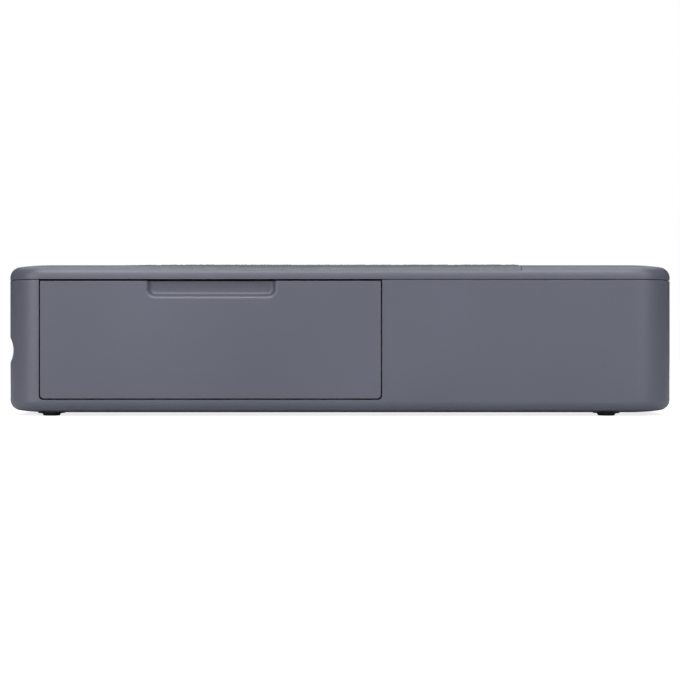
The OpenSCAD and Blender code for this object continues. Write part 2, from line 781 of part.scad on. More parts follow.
module button_board() {
    y = inner_side - 3.6;
    color("#1f5a3c") union() {
        block([light_at[0] - 4, y - 1, button_at[1] - 6], [button_at[0] + 6, y, button_at[1] + 6]);
        block([button_at[0] - 1.7, y, button_at[1] - 1.7], [button_at[0] + 1.7, y + 1.2, button_at[1] + 1.7]);
        // ribs that carry the board on the tray's side
        for (x = [light_at[0] - 2, button_at[0] + 4])
            block([x, tray_inner + tray_wall, button_at[1] - 5], [x + 1.2, y - 1, button_at[1] + 5]);
    }
}

module status_light() {
    color("#e8f0e8") translate([light_at[0], half_width - 0.1, light_at[1]]) rotate([90, 0, 0]) union() {
        cylinder(r = 0.75, h = wall + 0.3);
        translate([0, 0, wall + 0.3]) cylinder(r = 1.4, h = 3.2 - nothing);
    }
}

module power_button() {
    color("#5c5e64") translate([button_at[0], half_width - 0.2, button_at[1]]) rotate([90, 0, 0]) difference() {
        union() {
            cylinder(r = button_radius, h = wall + 0.6);
            translate([0, 0, wall + 0.4]) cylinder(r = button_radius + 0.8, h = 0.6);
        }
        translate([0, 0, -18.6]) sphere(r = 18.8, $fn = 96);
    }
    color("#5c5e64") translate([button_at[0], half_width - wall - 1, button_at[1]]) rotate([90, 0, 0])
        cylinder(r = 1.2, h = 0.85);
}

// ---- cover ----

module top_cover() {
    ear_half = ear_length / 2 + lug_gap;
    color("#67696f") difference() {
        union() {
            difference() {
                translate([0, 0, case_height]) mirror([0, 0, 1]) shell_block(case_height - cover_bottom);
                translate([0, 0, skin_bottom]) mirror([0, 0, 1]) shell_room(cover_height);
            }
            for (side = [-1, 1], end = [-1, 1]) {
                y = side * ear_offset + end * (ear_half + lug_length / 2);
                along_y(y - lug_length / 2, y + lug_length / 2) union() {
                    translate(cover_axis) circle(1.25);
                    translate(cover_axis - [1.25, 0]) square([2.4, skin_bottom - cover_axis[1] + 0.2]);
                }
            }
        }
        for (side = [-1, 1]) {
            y = side * ear_offset;
            block([cover_axis[0], y - ear_half, cover_bottom - 2],
                [half_length + 1, y + ear_half, cover_axis[1] + 1]);
            rod(cover_axis, ear_radius + 0.2, y - ear_half, y + ear_half);
            rod(cover_axis, hinge_pin_radius, y - ear_half - lug_length - 1, y + ear_half + lug_length + 1);
        }
    }
}

module cover_inner_plate() {
    side = half_width - 5.1;
    rear = half_length - 9.3;
    rib_side = side - 6;
    rib_pitch = 22;
    color("#4a4c51") union() {
        block([plate_front, -side, skin_bottom - 1.2], [rear, side, skin_bottom - 0.5]);
        for (x = [plate_front : rib_pitch : rear])
            block([x, -rib_side, skin_bottom - 0.5], [x + 1, rib_side, skin_bottom]);
        for (i = [-4 : 4]) translate([0, i * rib_side / 4, 0])
            block([plate_front + 3, -0.4, skin_bottom - 1.6], [rear - 2, 0.4, skin_bottom - 1.2]);
    }
}

module cover_hinge_pins() {
    reach = ear_length / 2 + lug_gap + lug_length;
    color("#c4c7ca") for (side = [-1, 1])
        rod(cover_axis, hinge_pin_radius, side * ear_offset - reach, side * ear_offset + reach);
}

// ---- ink door ----

module door_outline(x0, x1, z0, z1, r) {
    union() {
        translate([x0, z0 + r]) square([x1 - x0, z1 - z0 - r]);
        translate([x0 + r, z0]) square([x1 - x0 - 2 * r, z1 - z0]);
        for (x = [x0 + r, x1 - r]) translate([x, z0 + r]) circle(r);
    }
}

// One level of the finger recess, drawn in by an amount
module recess_slice(y, inset) {
    half = recess_length / 2 - inset;
    r = 1.6 - inset / 2;
    low = door_z1 - recess_height + inset;
    translate([recess_centre, y, 0]) rotate([90, 0, 0]) linear_extrude(nothing) union() {
        translate([-half, low + r]) square([2 * half, recess_height]);
        translate([-half + r, low]) square([2 * half - 2 * r, recess_height]);
        for (x = [-half + r, half - r]) translate([x, low + r]) circle(r, $fn = 32);
    }
}

module ink_door() {
    pocket = recess_length / 2 + 1;
    color("#67696f") difference() {
        union() {
            along_y(-half_width, -half_width + wall)
                door_outline(door_x0, door_x1, door_z0, door_z1, door_corner_radius - door_gap / 2);
            block([recess_centre - pocket, -inner_side - nothing, door_z1 - recess_height - 1.2],
                [recess_centre + pocket, -half_width + recess_depth + recess_back, door_z1]);
            for (x = [door_x0 + 6, door_x1 - 7]) block([x, -inner_side - nothing, door_z0 + 3],
                [x + 1, -inner_side + 0.6, door_z1 - 2]);
            for (z = [door_z0 + 7 : 6 : door_z0 + 19]) block([door_x0 + 6, -inner_side - nothing, z],
                [door_x1 - 6, -inner_side + 0.6, z + 0.8]);
            for (x = [door_x0, door_x1 - door_knuckle_length]) {
                rod_x(door_axis, door_knuckle, x, x + door_knuckle_length);
                block([x, -half_width + 1, door_axis[1] - door_knuckle],
                    [x + door_knuckle_length, door_axis[0], door_axis[1] + door_knuckle]);
            }
        }
        hull() {
            recess_slice(-half_width - 0.1, 0);
            recess_slice(-half_width + recess_depth, recess_bevel);
        }
        rod_x(door_axis, hinge_pin_radius, door_x0 - 1, door_x0 + door_knuckle_length - 0.6);
        rod_x(door_axis, hinge_pin_radius, door_x1 - door_knuckle_length + 0.6, door_x1 + 1);
    }
}

module door_hinge_pins() {
    color("#c4c7ca") {
        rod_x(door_axis, hinge_pin_radius, door_x0 - door_pin_reach, door_x0 + door_knuckle_length - 0.6);
        rod_x(door_axis, hinge_pin_radius, door_x1 - door_knuckle_length + 0.6, door_x1 + door_pin_reach);
    }
}

module eject_lever() {
    x = lever_pivot[0];
    y = lever_pivot[1];
    tip = tube_near + clear + 0.6;
    color("#c8642f") difference() {
        union() {
            block([x - lever_arm, y - 1.2, lever_bottom], [x + lever_arm + 1, y + 1.2, lever_bottom + lever_thickness]);
            translate([x, y, lever_bottom]) cylinder(r = 2.2, h = lever_thickness);
            block([x + lever_arm - 1, y, lever_bottom], [x + lever_arm + 1, tip, lever_bottom + lever_thickness]);
            translate([x + lever_arm, tip, lever_bottom]) cylinder(r = 0.6, h = 9);
            translate([x + lever_arm, tip, lever_bottom]) cylinder(r = 1, h = lever_thickness);
            block([x - lever_arm - 1, y - 2.6, lever_bottom - 2], [x - lever_arm + 2.5, y - 1.2 + nothing, lever_bottom + 2.6]);
            block([x - lever_arm - 1, y - 1.2, lever_bottom], [x - lever_arm + 1, y + 1.2, lever_bottom + lever_thickness]);
        }
        translate([x, y, 0]) cylinder(r = 1 + running, h = 30);
    }
}

// ---- ink cassette ----

module film_path(room) {
    front = tangent_at(film_edge(-1), take_up_at, take_up_roll_radius + 0.15, -1);
    rear = tangent_at(film_edge(1), supply_at, supply_roll_radius + 0.15, 1);
    lift = [0, film + room];
    drop = [0, -room];
    polygon([front + drop, film_edge(-1) + drop, film_edge(1) + drop, rear + drop,
        rear + lift, film_edge(1) + lift, film_edge(-1) + lift, front + lift]);
}

module cassette_shell() {
    color("#2b2c30") difference() {
        union() {
            for (at = [take_up_at, supply_at]) {
                along_y(tube_near, tube_far) translate(at) difference() {
                    circle(tube_radius);
                    circle(tube_radius - tube_wall);
                }
                rod(at, tube_radius - nothing, tube_far - end_wall, tube_far);
            }
            along_y(tube_near - bridge, tube_near) union() {
                for (at = [take_up_at, supply_at]) translate(at) circle(tube_radius);
                translate([take_up_at[0], spool_height - 4]) square([spool_spacing, tube_radius + 3]);
            }
            block([take_up_at[0], tube_far - 1.2, spool_height + 3], [supply_at[0], tube_far, spool_height + 6]);
        }
        for (at = [take_up_at, supply_at]) {
            rod(at, 1.5 + running, tube_near - bridge - 1, tube_near + 1);
            rod(at, hub_radius + running, tube_far - end_wall - 1, tube_far + 1);
        }
        along_y(-film_half - 0.6, film_half + 0.6) film_path(slit / 2);
    }
}

module cassette_grip() {
    color("#3a3c42") union() {
        block([-38, tube_near - bridge - 0.8, spool_height - 3], [-15, tube_near - bridge, spool_height + 5]);
        for (x = [-36 : 3 : -17]) block([x, tube_near - bridge - 1, spool_height - 2.4], [x + 1.2, tube_near - bridge - 0.8, spool_height + 4.4]);
    }
}

module ribbon_film() {
    color("#6b2f4a") along_y(-film_half, film_half) film_path(0);
}

// Three-sided drive dog, drawn round the origin
module dog_shape(reach, half) {
    intersection() {
        circle(reach);
        union() for (a = [0 : 60 : 120]) rotate(a) square([2 * reach, 2 * half], center = true);
    }
}

module spool(at, tint) {
    color(tint) difference() {
        union() {
            rod(at, 1.5, tube_near - bridge + 0.3, tube_near + clear);
            rod(at, core_radius, tube_near + clear, tube_far - end_wall - clear);
            rod(at, hub_radius, tube_far - end_wall - clear, tube_far);
        }
        along_y(tube_far - dog_reach - 0.5, tube_far + 1) translate(at) dog_shape(1.95, 0.5);
    }
}

module supply_spool() {
    spool(supply_at, "#e4e3dc");
}

module take_up_spool() {
    spool(take_up_at, "#d6d5cf");
}

module ribbon_roll(at, r) {
    along_y(-film_half, film_half) translate(at) difference() {
        circle(r);
        circle(core_radius);
    }
}

module supply_roll() {
    color("#8a3a5c") ribbon_roll(supply_at, supply_roll_radius);
}

module take_up_roll() {
    color("#3d3a58") ribbon_roll(take_up_at, take_up_roll_radius);
}

// ---- print head ----

module heater_board() {
    x = platen_at[0];
    color("#d9d4c4") along_y(-head_half, head_half) polygon([
        [x - 1.2, heater_bottom], [x + 1.2, heater_bottom], [x + 3, heater_bottom + 1.5],
        [x + 3, heater_bottom + 2.3], [x - 3, heater_bottom + 2.3], [x - 3, heater_bottom + 1.5]]);
}

module head_bracket() {
    low = heater_bottom + 2.3;
    x = platen_at[0];
    color("#8f9499") union() {
        block([x - 5, -head_half, low], [x + 5.5, head_half, low + 1.6]);
        for (side = [-1, 1]) along_y(side > 0 ? head_half - 2 : -head_half, side > 0 ? head_half : -head_half + 2)
            difference() {
                union() {
                    translate(head_pivot) circle(1.9);
                    polygon([[x + 3, low], [x + 5.5, low], head_pivot + [0.4, -1.85], head_pivot + [-0.4, 1.85],
                        [x + 3, low + 4]]);
                }
                translate(head_pivot) circle(1 + running);
            }
    }
}

module heat_sink() {
    low = heater_bottom + 3.9;
    x = platen_at[0];
    color("#aeb2b6") {
        along_y(-head_half + 2.3, head_half - 2.3) union() {
            translate([x - 9, low]) square([17.6, 1.2]);
            for (i = [0 : 5]) translate([x - 9 + i * 3.3, low]) square([1.1, heat_sink_top - low]);
        }
        for (side = [-1, 1]) block([x - 2.4, side * 28.9 - 2.4, heat_sink_top - 1.2],
            [x + 2.4, side * 28.9 + 2.4, heat_sink_top]);
    }
}

module head_springs() {
    color("#c4c7ca") for (side = [-1, 1]) translate([platen_at[0], side * 28.9, heat_sink_top])
        coil(1.6, 0.2, bar_bottom - heat_sink_top, 3);
}

module head_pivot_shaft() {
    color("#c4c7ca") rod(head_pivot, 1, -plate_y - plate, plate_y + plate);
}

// ---- rollers and gears ----

module platen_roller() {
    color("#1d1d1f") along_y(-roller_half, roller_half) translate(platen_at) difference() {
        circle(platen_radius);
        circle(shaft_radius);
    }
}

module platen_drive() {
    color("#e9e6dc") {
        rod(platen_at, shaft_radius, -plate_y - plate - 0.4, layer_a + gear_width);
        gear(platen_at, platen_teeth, platen_phase, layer_a);
    }
}

module grip_roller() {
    color("#b9bdc1") {
        rod(grip_at, shaft_radius, -plate_y - plate - 0.4, gears_end);
        rod(grip_at, grip_radius, -roller_half, roller_half);
        along_y(layer_a, gears_end) translate(grip_at) gear_shape(grip_teeth, grip_phase);
    }
}

module pinch_roller() {
    color("#8d9196") {
        rod(pinch_at, thin_shaft, -plate_y - plate - 0.3, plate_y + plate + 0.3);
        rod(pinch_at, pinch_radius, -roller_half + 1, roller_half - 1);
    }
}

module pickup_tyres() {
    color("#1d1d1f") for (side = [-1, 1]) along_y(side * 12 - 5, side * 12 + 5) translate(pickup_at) difference() {
        circle(pickup_radius);
        circle(2.6);
    }
}

module pickup_drive() {
    color("#e9e6dc") {
        rod(pickup_at, shaft_radius, -plate_y - plate - 0.4, gears_end);
        for (side = [-1, 1]) rod(pickup_at, 2.6, side * 12 - 5, side * 12 + 5);
        gear(pickup_at, pickup_teeth, pickup_phase, layer_b);
    }
}

module motor_pinion() {
    color("#cfa957") {
        rod(motor_at, 0.75, plate_y + 0.1, gears_end);
        along_y(layer_b, gears_end) translate(motor_at) gear_shape(motor_teeth, motor_phase);
    }
}

module compound_gear() {
    color("#e9e6dc") {
        gear(compound_at, big_teeth, compound_phase, layer_b, 0.8 + running);
        along_y(layer_a, layer_b + nothing) translate(compound_at) difference() {
            gear_shape(small_teeth, compound_phase);
            circle(0.8 + running);
        }
    }
}

module idler_gear() {
    color("#e9e6dc") gear(idler_at, idler_teeth, idler_phase, layer_a, 0.8 + running);
}

module relay_gear(at, phase) {
    color("#e9e6dc") {
        gear(at, relay_teeth, phase, layer_b, 0.8 + running);
        along_y(plate_y + plate + 0.2, layer_b + nothing) translate(at) difference() {
            circle(1.7);
            circle(0.8 + running);
        }
    }
}

module front_relay_gear() {
    relay_gear(front_relay_at, front_relay_phase);
}

module rear_relay_gear() {
    relay_gear(rear_relay_at, rear_relay_phase);
}

module ribbon_pinion() {
    color("#cfa957") {
        rod(ribbon_motor_at, 0.75, plate_y + 0.1, layer_a + gear_width);
        along_y(layer_a, layer_a + gear_width) translate(ribbon_motor_at) gear_shape(motor_teeth, motor_phase);
    }
}

module ribbon_idler() {
    color("#e9e6dc") gear(ribbon_idler_at, ribbon_idler_teeth, ribbon_idler_phase, layer_a, 0.8 + running);
}

module dog_shaft(at) {
    rod(at, shaft_radius, tube_far + 0.1, layer_a + gear_width);
    along_y(tube_far - dog_reach, tube_far + 0.1) translate(at) dog_shape(1.65, 0.3);
}

module take_up_drive() {
    color("#e9e6dc") {
        dog_shaft(take_up_at);
        gear(take_up_at, take_up_teeth, take_up_phase, layer_a);
    }
}

module supply_brake() {
    color("#e9e6dc") {
        dog_shaft(supply_at);
        rod(supply_at, 3, layer_a, layer_a + 1.2);
    }
}

module exit_roller() {
    color("#2a2a2c") {
        rod(exit_at, shaft_radius, -plate_y - plate - 0.4, plate_y + plate + 0.4);
        for (y = [-24, 0, 24]) rod(exit_at, exit_radius, y - 5, y + 5);
    }
}

module exit_idler() {
    color("#8d9196") {
        rod(exit_idler_at, thin_shaft, -plate_y - plate - 0.3, plate_y + plate + 0.3);
        for (y = [-24, 0, 24]) rod(exit_idler_at, exit_idler_radius, y - 2.5, y + 2.5);
    }
}

lower_case();
rubber_feet();
near_side_plate();
far_side_plate();
cross_bars();
inner_deck();
paper_tray();
battery_pack();
main_board();
board_parts();
usb_port();
front_paper_guide();
rear_paper_guide();
feed_motor();
ribbon_motor();
head_pivot_shaft();
gear_studs();
button_board();
status_light();
case_screws();
deck_screws();
top_cover();
cover_inner_plate();
cover_hinge_pins();
ink_door();
door_hinge_pins();
eject_lever();
cassette_shell();
cassette_grip();
ribbon_film();
supply_spool();
supply_roll();
take_up_spool();
take_up_roll();
head_bracket();
heater_board();
heat_sink();
head_springs();
lift_plate();
separation_pad();
lift_springs();
power_button();
motor_pinion();
compound_gear();
platen_roller();
platen_drive();
idler_gear();
grip_roller();
front_relay_gear();
rear_relay_gear();
pickup_tyres();
pickup_drive();
pinch_roller();
ribbon_pinion();
ribbon_idler();
take_up_drive();
supply_brake();
exit_roller();
exit_idler();
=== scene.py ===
"""Compact photo printer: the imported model's finishes, softened shell edges and the cover's knitted relief."""

import math
import random

import bmesh
import bpy
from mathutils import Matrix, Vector


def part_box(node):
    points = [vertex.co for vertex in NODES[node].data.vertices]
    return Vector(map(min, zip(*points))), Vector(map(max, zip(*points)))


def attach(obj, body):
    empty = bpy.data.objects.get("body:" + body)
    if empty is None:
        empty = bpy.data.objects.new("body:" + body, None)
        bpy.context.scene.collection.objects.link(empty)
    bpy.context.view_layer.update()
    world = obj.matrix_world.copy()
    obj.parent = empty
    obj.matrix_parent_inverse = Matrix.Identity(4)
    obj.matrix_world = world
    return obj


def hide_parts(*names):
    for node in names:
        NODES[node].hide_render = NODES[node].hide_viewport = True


bl_info = {
    "name": "Compact Photo Printer",
    "version": (1, 0, 0),
    "blender": (4, 5, 0),
    "location": "View3D > Sidebar > Printer",
    "description": "Dresses a compact photo printer: softened edges, knitted cover relief, finishes",
    "category": "Add Mesh",
}

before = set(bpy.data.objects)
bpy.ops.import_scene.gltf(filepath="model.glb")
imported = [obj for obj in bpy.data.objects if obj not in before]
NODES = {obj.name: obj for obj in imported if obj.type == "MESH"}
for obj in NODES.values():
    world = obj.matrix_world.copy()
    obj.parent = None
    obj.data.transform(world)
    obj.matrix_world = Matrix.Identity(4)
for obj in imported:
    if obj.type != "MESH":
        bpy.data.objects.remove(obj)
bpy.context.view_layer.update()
MM = 0.001
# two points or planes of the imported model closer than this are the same
NEAR = 0.02 * MM
# soft lights: azimuth from the front and elevation in degrees, distance, width and height in metres, watts
SOFTBOXES = (
    ("front_strip", 0, 55, 0.8, 0.9, 0.15, 3.5),
    ("overhead_strip", 0, 70, 0.8, 0.9, 0.2, 2.1),
    ("top_strip", 180, 82, 0.8, 0.9, 0.2, 1.8),
    ("left_strip", -48, 10, 0.8, 0.15, 0.5, 1.5),
    ("upper_left_softbox", -30, 45, 0.8, 0.4, 0.4, 0.9),
    ("low_left_softbox", -22, 15, 0.8, 0.4, 0.3, 0.6),
    ("front_softbox", 0, 25, 0.8, 0.4, 0.4, 0.7),
    ("fill_softbox", 35, 20, 0.8, 0.4, 0.4, 1.5),
    ("rear_left_softbox", -148, 50, 0.9, 0.5, 0.5, 1.2),
    ("rear_right_softbox", 148, 50, 0.9, 0.5, 0.5, 1.2),
)
# sky: sine of the elevation where it starts and ends to fall off, and its brightness at both
SKY = (0.26, 0.55, 0.06, 0.03)
# light from under the floor's level, for a look from below without the floor
UNDERLIGHT = 0.4
# the floor's own glow, for the camera alone, and its side and thickness in metres
FLOOR_GLOW = 0.8
FLOOR_SIDE, FLOOR_THICKNESS = 1.4, 0.01
# the camera: distance from the printer's middle and height over the floor in metres, lens and film in mm
EYE_AWAY, EYE_HEIGHT = 0.34766, 0.0165
EYE_LENS, EYE_FILM = 72.98, 36


def linear(code):
    """An sRGB hex colour as linear red, green and blue."""
    parts = [int(code[i:i + 2], 16) / 255 for i in (1, 3, 5)]
    return tuple(c / 12.92 if c <= 0.04045 else ((c + 0.055) / 1.055) ** 2.4 for c in parts)


CASE_LOW, CASE_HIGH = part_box("lower_case")
COVER_LOW, COVER_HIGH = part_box("top_cover")
DOOR_LOW, DOOR_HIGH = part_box("ink_door")


class PrinterSizes(bpy.types.PropertyGroup):
    """Sizes that the finished surfaces are built from."""

    corner_radius: bpy.props.FloatProperty(
        name="Corner radius", description="Radius of the upright corners of the shell",
        default=9.4 * MM, min=1 * MM, subtype="DISTANCE", unit="LENGTH")
    cover_edge_radius: bpy.props.FloatProperty(
        name="Cover edge radius", description="Radius of the cover's upper edge where it meets the side",
        default=2.3 * MM, min=0.5 * MM, subtype="DISTANCE", unit="LENGTH")
    cover_crown_radius: bpy.props.FloatProperty(
        name="Cover crown radius",
        description="Radius of the cover's upper edge where it runs out into the top",
        default=50 * MM, min=1 * MM, subtype="DISTANCE", unit="LENGTH")
    cover_edge_height: bpy.props.FloatProperty(
        name="Cover edge height", description="Height of the cover's rounded upper edge",
        default=2.8 * MM, min=0.5 * MM, subtype="DISTANCE", unit="LENGTH")
    seam_softening: bpy.props.FloatProperty(
        name="Seam softening", description="Width of the rounded edge along the parting line",
        default=0.08 * MM, min=0.02 * MM, subtype="DISTANCE", unit="LENGTH")
    door_softening: bpy.props.FloatProperty(
        name="Door softening",
        description="Width of the rounded edges of the door, its opening and the paper slot",
        default=0.14 * MM, min=0.02 * MM, subtype="DISTANCE", unit="LENGTH")
    recess_softening: bpy.props.FloatProperty(
        name="Recess softening", description="Width of the rounded rim and foot of the door's finger recess",
        default=0.5 * MM, min=0.02 * MM, subtype="DISTANCE", unit="LENGTH")
    recess_depth: bpy.props.FloatProperty(
        name="Recess depth", description="Depth of the door's finger recess behind its front",
        default=1.3 * MM, min=0.1 * MM, subtype="DISTANCE", unit="LENGTH")
    knit_front: bpy.props.FloatProperty(
        name="Knit front", description="Front end of the knitted relief along the cover",
        default=-47 * MM, subtype="DISTANCE", unit="LENGTH")
    knit_rear: bpy.props.FloatProperty(
        name="Knit rear", description="Rear end of the knitted relief along the cover",
        default=39.2 * MM, subtype="DISTANCE", unit="LENGTH")
    knit_fade: bpy.props.FloatProperty(
        name="Knit fade", description="Length over which the relief rises at its front end",
        default=16 * MM, min=0.1 * MM, subtype="DISTANCE", unit="LENGTH")
    knit_drop: bpy.props.FloatProperty(
        name="Knit drop", description="How far down the rounded shoulder the relief reaches",
        default=1.6 * MM, min=0.1 * MM, subtype="DISTANCE", unit="LENGTH")
    knit_leg: bpy.props.FloatProperty(
        name="Stitch leg", description="Width of one leg of a stitch",
        default=0.7 * MM, min=0.2 * MM, subtype="DISTANCE", unit="LENGTH")
    knit_course: bpy.props.FloatProperty(
        name="Stitch length", description="Length of one stitch across the cover",
        default=1.3 * MM, min=0.2 * MM, subtype="DISTANCE", unit="LENGTH")
    knit_height: bpy.props.FloatProperty(
        name="Knit height", description="Height of the stitches above the cover",
        default=0.23 * MM, min=0, subtype="DISTANCE", unit="LENGTH")


class PrinterColours(bpy.types.PropertyGroup):
    """Colours that a user would change."""

    case: bpy.props.FloatVectorProperty(
        name="Case", description="Slate grey of the moulded shell",
        subtype="COLOR", min=0, max=1, default=linear("#4e505d"))
    floor: bpy.props.FloatVectorProperty(
        name="Floor", description="Pale studio floor",
        subtype="COLOR", min=0, max=1, default=linear("#c8c8c8"))


def deselect():
    """Leaves nothing selected and no object in edit mode."""
    if bpy.context.object and bpy.context.object.mode != "OBJECT":
        bpy.ops.object.mode_set(mode="OBJECT")
    for obj in bpy.context.selected_objects:
        obj.select_set(False)


def take_up(obj):
    """Makes one object the selected and active one."""
    deselect()
    obj.select_set(True)
    bpy.context.view_layer.objects.active = obj


def start(name, primitive, **settings):
    """Adds a primitive in edit mode, selected all over, and returns its object."""
    deselect()
    getattr(bpy.ops.mesh, primitive + "_add")(**settings)
    obj = bpy.context.object
    obj.name = obj.data.name = name
    bpy.ops.object.mode_set(mode="EDIT")
    return obj


def pick(obj, kind, test):
    """In edit mode, selects the vertices, edges or faces that pass a test, and returns how many there are."""
    bpy.ops.mesh.select_mode(type=kind)
    bpy.ops.mesh.select_all(action="DESELECT")
    mesh = bmesh.from_edit_mesh(obj.data)
    parts = {"VERT": mesh.verts, "EDGE": mesh.edges, "FACE": mesh.faces}[kind]
    chosen = [p for p in parts if test(p)]
    for p in chosen:
        p.select_set(True)
    mesh.select_flush_mode()
    bmesh.update_edit_mesh(obj.data)
    return len(chosen)


def settle(obj, body, material, smooth=35):
    """Ends edit mode, puts the place into the mesh, shades it and sets what it rides on and is made of."""
    take_up(obj)
    bpy.ops.object.transform_apply(location=True, rotation=True, scale=True)
    bpy.ops.object.shade_smooth_by_angle(angle=math.radians(smooth))
    # flat faces keep their own normal beside the rounded edges
    obj.modifiers.new("even", "WEIGHTED_NORMAL").keep_sharp = True
    bpy.ops.object.modifier_apply(modifier="even")
    obj.data.materials.clear()
    obj.data.materials.append(material)
    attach(obj, body)
    deselect()
    return obj


def node_copy(name, node):
    """A merged copy of a CAD node's mesh, with flat areas as single faces, in edit mode."""
    deselect()
    obj = bpy.data.objects.new(name, NODES[node].data.copy())
    bpy.context.scene.collection.objects.link(obj)
    take_up(obj)
    bpy.ops.mesh.customdata_custom_splitnormals_clear()
    bpy.ops.object.mode_set(mode="EDIT")
    bpy.ops.mesh.select_all(action="SELECT")
    bpy.ops.mesh.remove_doubles(threshold=0.001 * MM)
    bpy.ops.mesh.dissolve_limited(angle_limit=math.radians(0.3))
    return obj


def add_node(tree, kind, values=(), links=()):
    """Adds a shader node, sets its properties and input values, and links its inputs."""
    made = tree.nodes.new(kind)
    for key, value in dict(values).items():
        if isinstance(key, str) and hasattr(made, key):
            setattr(made, key, value)
        else:
            made.inputs[key].default_value = value
    for key, source in dict(links).items():
        tree.links.new(source, made.inputs[key])
    return made


def surface(name, **values):
    """A new material with a Principled surface, and its tree, shader and object coordinates."""
    material = bpy.data.materials.new(name)
    material.use_nodes = True
    tree = material.node_tree
    tree.nodes.clear()
    shader = add_node(tree, "ShaderNodeBsdfPrincipled", values)
    add_node(tree, "ShaderNodeOutputMaterial", {}, {"Surface": shader.outputs[0]})
    place = add_node(tree, "ShaderNodeTexCoord").outputs["Object"]
    return material, tree, shader, place


def moulded(name, colour, rough, grain, depth, ior=1.5, spread=0.06, shade=0.05, stitched=False):
    """Moulded plastic: even colour with a faint drift, and the mould's eroded grain in sheen and height.
    grain is the size of one pit and depth its height, both in millimetres; a stitched surface takes a painted
    shade in its valleys and a painted highlight on its crests from the mesh's own attribute."""
    material, tree, shader, place = surface(name, **{"IOR": ior, "Metallic": 0.0})
    pits = add_node(tree, "ShaderNodeTexNoise", {"Scale": 1 / (grain * MM), "Detail": 3.0, "Roughness": 0.6},
                    {"Vector": place}).outputs["Fac"]
    drift = add_node(tree, "ShaderNodeTexNoise", {"Scale": 1 / (28 * MM), "Detail": 1.0},
                     {"Vector": place}).outputs["Fac"]
    both = add_node(tree, "ShaderNodeMath", {"operation": "ADD"}, {0: pits, 1: drift}).outputs[0]
    colours = add_node(tree, "ShaderNodeValToRGB", {}, {"Fac": add_node(
        tree, "ShaderNodeMapRange", {"From Min": 0.6, "From Max": 1.4}, {"Value": both}).outputs[0]})
    dark, light = colours.color_ramp.elements
    dark.color = (*[c * (1 - shade) for c in colour], 1)
    light.color = (*[min(1, c * (1 + shade)) for c in colour], 1)
    base = colours.outputs["Color"]
    if stitched:
        # painted shade in the valleys and painted highlight on the crests, scaling the colour
        stitch_shading = add_node(tree, "ShaderNodeAttribute", {"attribute_name": "stitch_painted_shading"}).outputs["Fac"]
        base = add_node(tree, "ShaderNodeVectorMath", {"operation": "SCALE"},
                        {0: base, "Scale": stitch_shading}).outputs[0]
    tree.links.new(base, shader.inputs["Base Color"])
    gloss = add_node(tree, "ShaderNodeMapRange", {"From Min": 0.3, "From Max": 0.7,
                     "To Min": rough - spread, "To Max": rough + spread}, {"Value": pits}).outputs[0]
    tree.links.new(gloss, shader.inputs["Roughness"])
    bump = add_node(tree, "ShaderNodeBump", {"Distance": depth * MM, "Strength": 1.0}, {"Height": pits})
    tree.links.new(bump.outputs["Normal"], shader.inputs["Normal"])
    return material


def metal(name, colour, rough, stretch, line, depth=0.004, spread=0.08):
    """Bare or plated metal: its working marks run along the long axis of the stretch.
    stretch gives how much longer a mark is on x, y and z, and line the width of one mark in millimetres."""
    material, tree, shader, place = surface(name, **{"Metallic": 1.0})
    along = add_node(tree, "ShaderNodeMapping", {"Scale": tuple(1 / s for s in stretch)}, {"Vector": place})
    marks = add_node(tree, "ShaderNodeTexNoise", {"Scale": 1 / (line * MM), "Detail": 4.0, "Roughness": 0.65},
                     {"Vector": along.outputs[0]}).outputs["Fac"]
    blotch = add_node(tree, "ShaderNodeTexNoise", {"Scale": 1 / (9 * MM), "Detail": 2.0},
                      {"Vector": place}).outputs["Fac"]
    colours = add_node(tree, "ShaderNodeValToRGB", {}, {"Fac": blotch})
    dark, light = colours.color_ramp.elements
    dark.position, light.position = 0.3, 0.7
    dark.color = (*[c * 0.88 for c in colour], 1)
    light.color = (*[min(1, c * 1.06) for c in colour], 1)
    tree.links.new(colours.outputs["Color"], shader.inputs["Base Color"])
    gloss = add_node(tree, "ShaderNodeMapRange", {"From Min": 0.3, "From Max": 0.7,
                     "To Min": rough - spread, "To Max": rough + spread}, {"Value": marks}).outputs[0]
    tree.links.new(gloss, shader.inputs["Roughness"])
    bump = add_node(tree, "ShaderNodeBump", {"Distance": depth * MM, "Strength": 0.8}, {"Height": marks})
    tree.links.new(bump.outputs["Normal"], shader.inputs["Normal"])
    return material


def rubber(name, colour, rough, speck, fleck=None):
    """Moulded or ground rubber: dull, with a fine nap and a bloom that lightens it in patches."""
    material, tree, shader, place = surface(name, **{"IOR": 1.52, "Metallic": 0.0, "Specular IOR Level": 0.3})
    nap = add_node(tree, "ShaderNodeTexNoise", {"Scale": 1 / (speck * MM), "Detail": 4.0, "Roughness": 0.7},
                   {"Vector": place}).outputs["Fac"]
    bloom = add_node(tree, "ShaderNodeTexNoise", {"Scale": 1 / (4 * MM), "Detail": 2.0},
                     {"Vector": place}).outputs["Fac"]
    colours = add_node(tree, "ShaderNodeValToRGB", {}, {"Fac": nap if fleck else bloom})
    dark, light = colours.color_ramp.elements
    dark.position, light.position = 0.35, 0.65
    dark.color = (*colour, 1)
    light.color = (*(fleck or [c * 1.5 for c in colour]), 1)
    tree.links.new(colours.outputs["Color"], shader.inputs["Base Color"])
    gloss = add_node(tree, "ShaderNodeMapRange", {"From Min": 0.3, "From Max": 0.7,
                     "To Min": rough - 0.08, "To Max": min(1, rough + 0.08)}, {"Value": bloom}).outputs[0]
    tree.links.new(gloss, shader.inputs["Roughness"])
    bump = add_node(tree, "ShaderNodeBump", {"Distance": 0.02 * MM, "Strength": 1.0}, {"Height": nap})
    tree.links.new(bump.outputs["Normal"], shader.inputs["Normal"])
    return material


